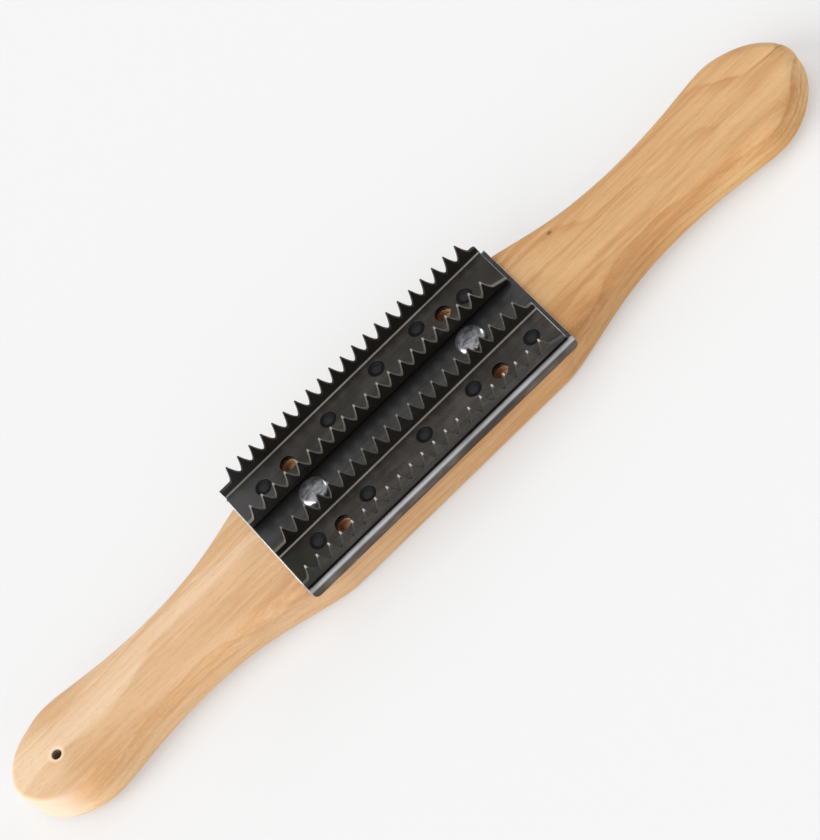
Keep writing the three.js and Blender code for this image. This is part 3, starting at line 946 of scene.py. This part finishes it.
def beech_wood():
    """Pale hardwood: soft growth figure, streaks and fibres along the tool, and small pores."""
    wood = Finish("beech_wood")
    x, y, z = wood.axis("X"), wood.axis("Y"), wood.axis("Z")
    wander = wood.noise((0.008, 0.022, 0.02), detail=2.0, roughness=0.45)
    late = late_wood(wood, wander)
    broad = wood.noise((0.02, 0.09, 0.09), detail=3.0, roughness=0.5, shift=(6, 1, 3))
    streaks = wood.noise((0.012, 0.42, 0.42), detail=4.0, roughness=0.55, shift=(3, 7, 1))
    fibres = wood.noise((0.09, 2.6, 2.6), detail=3.0, roughness=0.65, shift=(1, 4, 8))
    pores = wood.spread(wood.noise((0.4, 5.0, 5.0), detail=1.0, shift=(2, 2, 2)), 0.62, 0.72)

    # The rings show most where the right-hand tip's rounding cuts across them.
    ring_weight = wood.spread(x, 180.0, 200.0, 0.11, 0.26)
    tone = wood.plus(wood.times(wood.math("SUBTRACT", late, 0.4), ring_weight), 0.5)
    for pattern, weight in ((broad, 0.32), (streaks, 0.44), (fibres, 0.36)):
        tone = wood.plus(tone, centred(wood, pattern, weight))
    # The toothed face is a little darker along both its edges than in the middle.
    edges = wood.spread(wood.math("ABSOLUTE", y), 8.0, 17.0)
    edges = wood.times(edges, wood.spread(z, 10.0, 16.0))
    edge_weight = wood.spread(x, 60.0, -100.0, 0.1, 0.16)
    tone = wood.plus(tone, wood.times(edges, edge_weight))
    pale = wood.ramp(tone, [(0.3, srgb(223, 193, 161)), (0.5, srgb(215, 183, 149)),
                            (0.7, srgb(201, 160, 118))])
    warm = wood.ramp(tone, [(0.3, srgb(208, 172, 124)), (0.5, srgb(199, 157, 109)),
                            (0.7, srgb(180, 130, 81))])
    # Paler to the left and warmer to the right: partly the wood's own colour, partly painted light that
    # falls off away from the left-hand lamp.
    warmth = wood.spread(wood.plus(x, wood.times(wander, 60.0)), -70.0, 110.0)
    colour = wood.blend(warmth, pale, warm)

    # A redder growth figure lies along the near edge, its border wandering with the rings.
    border = wood.plus(y, centred(wood, wander, 90.0))
    heart = wood.spread(border, -6.0, -10.0, 0.0, 0.6)
    colour = wood.blend(heart, colour, wood.blend(1.0, colour, srgb(240, 224, 200), "MULTIPLY"))
    # The sides of both handles are a little paler.
    sides = wood.spread(wood.math("ABSOLUTE", x), 95.0, 130.0)
    sides = wood.times(sides, wood.spread(z, 20.2, 15.0))
    colour = wood.blend(sides, colour, wood.blend(1.0, colour, (1.15, 1.15, 1.08, 1.0), "MULTIPLY"))
    # The left-hand end is painted paler as painted light from the left, and its end below the top face
    # most, as a painted highlight.
    tip = wood.spread(x, -190.0, -204.0, 0.0, 0.3)
    colour = wood.blend(tip, colour, srgb(236, 208, 174))
    end_highlight = wood.spread(x, -196.0, -208.0, 0.0, 0.65)
    end_highlight = wood.times(end_highlight, wood.spread(z, 20.3, 19.0))
    colour = wood.blend(end_highlight, colour, srgb(226, 206, 188))
    colour = wood.blend(wood.times(pores, 0.3), colour, srgb(140, 92, 52))
    colour = hole_wear_and_painted_light(wood, marked(wood, colour))

    relief = wood.bump(fibres, 0.03, 0.5)
    relief = wood.bump(late, 0.03, 0.4, relief)
    rough = wood.spread(streaks, 0.3, 0.7, 0.5, 0.64)
    return wood.finish(Base_Color=colour, Roughness=rough, Normal=relief, Specular_IOR_Level=0.35)


def dark_rolled_steel():
    """Hot-rolled sheet with its thin brown-black scale, and a painted highlight along the folds."""
    steel = Finish("dark_rolled_steel")
    x = steel.axis("X")
    clouds = steel.noise((0.06, 0.12, 0.12), detail=5.0, roughness=0.6, shift=(4, 1, 6))
    rolling = steel.noise((0.03, 1.4, 1.4), detail=3.0, roughness=0.6, shift=(8, 3, 2))
    grit = steel.noise((1.6, 1.6, 1.6), detail=3.0, roughness=0.7)
    tone = steel.plus(centred(steel, clouds, 0.9), centred(steel, rolling, 0.35))
    tone = steel.plus(steel.plus(tone, centred(steel, grit, 0.55)), 0.5)
    colour = steel.ramp(tone, [(0.25, srgb(44, 41, 37)), (0.5, srgb(58, 55, 51)), (0.75, srgb(80, 77, 73))])
    # The rear channel is darker, but for its greyer left-hand end.
    rear = steel.spread(steel.axis("Y"), -4.0, 6.0)
    colour = steel.blend(steel.times(rear, 0.35), colour, srgb(40, 38, 35))
    # The front channel's left-hand end is darker, partly its own colour and partly painted shade.
    left = steel.times(steel.spread(x, -50.0, -68.0), steel.spread(rear, 0.0, 1.0, 0.9, 0.6))
    colour = steel.blend(left, colour, steel.blend(rear, srgb(31, 33, 26), srgb(80, 81, 84)))
    rust = steel.noise((0.16, 0.3, 0.3), detail=5.0, roughness=0.65, shift=(2, 9, 4))
    colour = steel.blend(steel.spread(rust, 0.58, 0.74, 0.0, 0.4), colour, srgb(84, 56, 40))
    # The inner bends of the folds get a painted highlight.
    fold_highlight = steel.math("POWER", steel.attribute("bend_highlight"), 1.2)
    fold_highlight = steel.times(fold_highlight, steel.spread(clouds, 0.35, 0.6, 0.7, 1.0))
    colour = steel.blend(fold_highlight, colour, srgb(150, 144, 135))
    # The walls of the open holes are painted near black: painted shade.
    for node in CHANNELS.values():
        for hole in OPEN_HOLES:
            wall = steel.near_axis(hole, centre_mm(node).y, OPEN_HOLE_RADIUS + 0.1, OPEN_HOLE_RADIUS)
            colour = steel.blend(wall, colour, srgb(14, 12, 10))
    relief = steel.bump(grit, 0.04, 0.4)
    rough = steel.spread(tone, 0.3, 0.7, 0.52, 0.4)
    return steel.finish(Base_Color=colour, Metallic=0.7, Roughness=rough, Normal=relief)


def sheared_steel(name, dark, bright, metallic):
    """A cut edge of a sheet, with the marks of the shear across it, and painted glints and highlights on
    its points, on the rear channel's near row and on the right-hand ends.
    """
    steel = Finish(name)
    y = steel.axis("Y")
    marks = steel.noise((4.5, 4.5, 0.5), detail=2.0, roughness=0.6)
    colour = steel.ramp(marks, [(0.3, dark), (0.7, bright)])
    # The row inside the rear channel's near fold is painted greyer than the rest, a painted highlight.
    middle_row = steel.spread(y, *MIDDLE_ROW_STARTS, 0.0, 0.25)
    middle_row = steel.times(middle_row, steel.spread(y, *MIDDLE_ROW_ENDS))
    colour = steel.blend(middle_row, colour, srgb(146, 144, 130))
    # The points get a painted glint, brightest on the front channel's near row.
    points = steel.attribute("tip_glint")
    colour = steel.blend(points, colour, srgb(255, 250, 238))
    # The right-hand ends get a painted highlight, the front channel's most, and the outermost edges are
    # darker, the near row's but for its points.
    painted_sheen = steel.spread(steel.axis("X"), CHANNEL_END - 0.6, CHANNEL_END - 0.3)
    painted_sheen = steel.times(painted_sheen, steel.spread(y, 4.0, -4.0, 0.1, 0.7))
    colour = steel.blend(painted_sheen, colour, srgb(206, 208, 210))
    colour = steel.blend(steel.spread(y, *FAR_ROW_STARTS, 0.0, 0.85), colour, srgb(30, 28, 26))
    near_row = steel.spread(y, *NEAR_ROW_STARTS, 0.0, 0.5)
    near_row = steel.times(near_row, steel.spread(points, 0.5, 0.1))
    colour = steel.blend(near_row, colour, srgb(34, 33, 31))
    relief = steel.bump(marks, 0.05, 0.5)
    return steel.finish(Base_Color=colour, Metallic=metallic, Roughness=0.6, Normal=relief)


def bare_sheet_steel():
    """The base plate: dark mill finish, mottled, painted lighter on its folded sides and bright along its
    bends as painted light, and browner low down.
    """
    steel = Finish("bare_sheet_steel")
    clouds = steel.noise((0.05, 0.14, 0.14), detail=5.0, roughness=0.6, shift=(1, 6, 2))
    rolling = steel.noise((0.015, 1.8, 1.8), detail=3.0, roughness=0.6, shift=(2, 3, 7))
    grit = steel.noise((1.8, 1.8, 1.8), detail=3.0, roughness=0.7)
    tone = steel.plus(centred(steel, clouds, 0.8), centred(steel, rolling, 0.4))
    tone = steel.plus(tone, 0.5)
    scale = steel.ramp(tone, [(0.3, srgb(52, 52, 52)), (0.7, srgb(76, 76, 76))])
    painted_sheen = steel.ramp(tone, [(0.3, srgb(64, 58, 52)), (0.5, srgb(88, 79, 71)),
                               (0.7, srgb(120, 113, 106))])
    # The folded sides are painted lighter: painted light.
    out = steel.math("ABSOLUTE", steel.axis("Y"))
    side = steel.spread(steel.plus(out, steel.times(clouds, 1.2)), 30.8, 32.0)
    colour = steel.blend(side, scale, painted_sheen)
    # The outer bends get a painted highlight.
    fold_highlight = steel.times(steel.attribute("bend_highlight"), steel.spread(clouds, 0.3, 0.6, 0.6, 1.0))
    colour = steel.blend(fold_highlight, colour, srgb(182, 184, 188))
    low = steel.plus(steel.axis("Z"), centred(steel, clouds, 4.0))
    colour = steel.blend(steel.spread(low, 18.0, 16.2, 0.0, 0.4), colour, srgb(82, 66, 54))
    relief = steel.bump(grit, 0.03, 0.35)
    rough = steel.spread(tone, 0.3, 0.7, 0.46, 0.34)
    return steel.finish(Base_Color=colour, Metallic=0.85, Roughness=rough, Normal=relief)


def heat_tinted_weld():
    """A spot weld: a burnt blue-black ring round a paler worn middle."""
    weld = Finish("heat_tinted_weld")
    grit = weld.noise((1.4, 1.4, 1.4), detail=3.0, roughness=0.65)
    reach = weld.plus(weld.attribute("reach"), centred(weld, grit, 0.3))
    colour = weld.ramp(reach, [(0.0, srgb(40, 42, 45)), (0.45, srgb(34, 36, 39)), (0.7, srgb(14, 15, 17)),
                               (0.92, srgb(10, 10, 11)), (1.0, srgb(24, 23, 21))])
    relief = weld.bump(grit, 0.06, 0.5)
    return weld.finish(Base_Color=colour, Metallic=0.4, Roughness=0.62, Normal=relief,
                       Specular_IOR_Level=0.25)


def zinc_plated_steel():
    """Bright plated fixings, a little cloudy and marked, and on the crown of a bolt's head rougher, smeared
    and painted darker as painted shade.
    """
    zinc = Finish("zinc_plated_steel")
    clouds = zinc.noise((0.4, 0.4, 0.4), detail=4.0, roughness=0.6, shift=(3, 3, 9))
    grit = zinc.noise((2.2, 2.2, 2.2), detail=2.0)
    colour = zinc.ramp(clouds, [(0.35, srgb(176, 178, 182)), (0.62, srgb(196, 198, 202))])
    # The crown of a bolt's head is painted darker: painted shade.
    crown = zinc.times(zinc.spread(zinc.attribute("reach"), 0.88, 0.74),
                      zinc.spread(zinc.axis("Z"), PLATE_HIGH.z + 0.5, PLATE_HIGH.z + 1.0))
    smears = zinc.noise((0.22, 0.5, 0.5), detail=3.0, roughness=0.6, shift=(1, 5, 2), distortion=0.8)
    crown_shade = zinc.ramp(smears, [(0.36, srgb(78, 79, 83)), (0.5, srgb(112, 113, 116)),
                              (0.64, srgb(140, 141, 144))])
    colour = zinc.blend(crown, colour, crown_shade)
    relief = zinc.bump(grit, 0.008, 0.2)
    rough = zinc.spread(crown, 0.0, 1.0, 0.2, 0.42)
    return zinc.finish(Base_Color=colour, Metallic=0.9, Roughness=rough, Normal=relief)


# ---------------------------------------------------------------- floor, light and camera

def pale_floor():
    bm = bmesh.new()
    reach = FLOOR_REACH / MM
    signs = ((-1, -1), (1, -1), (1, 1), (-1, 1))
    corners = [bm.verts.new((x * reach, y * reach, -FLOOR_BELOW)) for x, y in signs]
    bm.faces.new(corners)
    bmesh.ops.transform(bm, matrix=Matrix.Scale(MM, 4), verts=bm.verts)
    mesh = bpy.data.meshes.new("floor")
    bm.to_mesh(mesh)
    bm.free()
    paper = Finish("pale_floor")
    # The backdrop glows a little, as a light table does, so that shadows on it stay faint.
    mesh.materials.append(paper.finish(
        Base_Color=(0.46, 0.46, 0.46, 1.0), Roughness=0.9, Specular_IOR_Level=0.0,
        Emission_Color=(1.0, 1.0, 1.0, 1.0), Emission_Strength=0.345))
    floor = bpy.data.objects.new("floor", mesh)
    bpy.context.scene.collection.objects.link(floor)


def soft_sun(name, towards_light, strength, spread_degrees):
    data = bpy.data.lights.new(name, "SUN")
    data.energy = strength
    data.angle = math.radians(spread_degrees)
    lamp = bpy.data.objects.new(name, data)
    lamp.rotation_mode = "QUATERNION"
    lamp.rotation_quaternion = Vector(towards_light).to_track_quat("Z", "Y")
    bpy.context.scene.collection.objects.link(lamp)


def studio_sky():
    """A grey room that brightens towards the horizon, where it meets the floor."""
    world = bpy.data.worlds.new("studio")
    world.use_nodes = True
    tree = world.node_tree
    coordinates = tree.nodes.new("ShaderNodeTexCoord")
    split = tree.nodes.new("ShaderNodeSeparateXYZ")
    ramp = tree.nodes.new("ShaderNodeValToRGB")
    elements = ramp.color_ramp.elements
    levels = ((0.0, 0.92), (0.05, 0.8), (0.22, 0.52), (0.45, 0.44))
    while len(elements) < len(levels):
        elements.new(0.5)
    for element, (height, level) in zip(elements, levels):
        element.position = height
        element.color = (level, level, level, 1.0)
    tree.links.new(coordinates.outputs["Generated"], split.inputs[0])
    tree.links.new(split.outputs["Z"], ramp.inputs["Fac"])
    tree.links.new(ramp.outputs["Color"], tree.nodes["Background"].inputs["Color"])
    bpy.context.scene.world = world


def studio_light():
    studio_sky()
    soft_sun("left_window", (-0.88, -0.14, 0.45), 3.0, 60)
    soft_sun("overhead", (0, 0.2, 0.98), 0.8, 50)
    soft_sun("front_fill", (0, -0.94, 0.34), 0.55, 60)
    soft_sun("right_glint", (0.85, 0.38, 0.36), 0.6, 26)


def camera():
    """Looks down on the toothed face from the front, turned so that the tool runs up to the right."""
    towards = Vector((0, -math.sin(VIEW_TILT), math.cos(VIEW_TILT)))
    along = Vector((1, 0, 0))
    across = Vector((0, math.cos(VIEW_TILT), math.sin(VIEW_TILT)))
    right = along * math.cos(VIEW_TURN) - across * math.sin(VIEW_TURN)
    up = along * math.sin(VIEW_TURN) + across * math.cos(VIEW_TURN)
    aim = (along * AIM_ALONG + across * AIM_ACROSS) * MM
    data = bpy.data.cameras.new("camera")
    data.sensor_width = SENSOR
    data.lens = LENS
    data.clip_end = 100
    camera_object = bpy.data.objects.new("camera", data)
    camera_object.location = aim + towards * CAMERA_DISTANCE
    turned = Matrix((right, up, towards)).transposed()
    camera_object.rotation_mode = "QUATERNION"
    camera_object.rotation_quaternion = turned.to_quaternion()
    bpy.context.scene.collection.objects.link(camera_object)
    bpy.context.scene.camera = camera_object
    bpy.context.scene.view_settings.view_transform = "Standard"


# ---------------------------------------------------------------- assembly

def build():
    plate_cut = sheared_steel("sheared_plate_edge", srgb(186, 186, 184), srgb(238, 238, 236), 0.8)
    channel_cut = sheared_steel("sheared_channel_edge", srgb(74, 72, 67), srgb(108, 105, 98), 0.25)
    channel = dark_rolled_steel()
    weld = heat_tinted_weld()
    zinc = zinc_plated_steel()
    wooden_board(beech_wood())
    base_plate([bare_sheet_steel(), plate_cut])
    for row in CHANNELS:
        toothed_channel(row, [channel, channel_cut])
        for index in range(WELDS_IN_A_ROW):
            spot_weld(row, index, weld)
    for side in SIDES:
        carriage_bolt(side, zinc)
        washer(side, zinc)
        hex_nut(side, zinc)


build()
pale_floor()
studio_light()
camera()
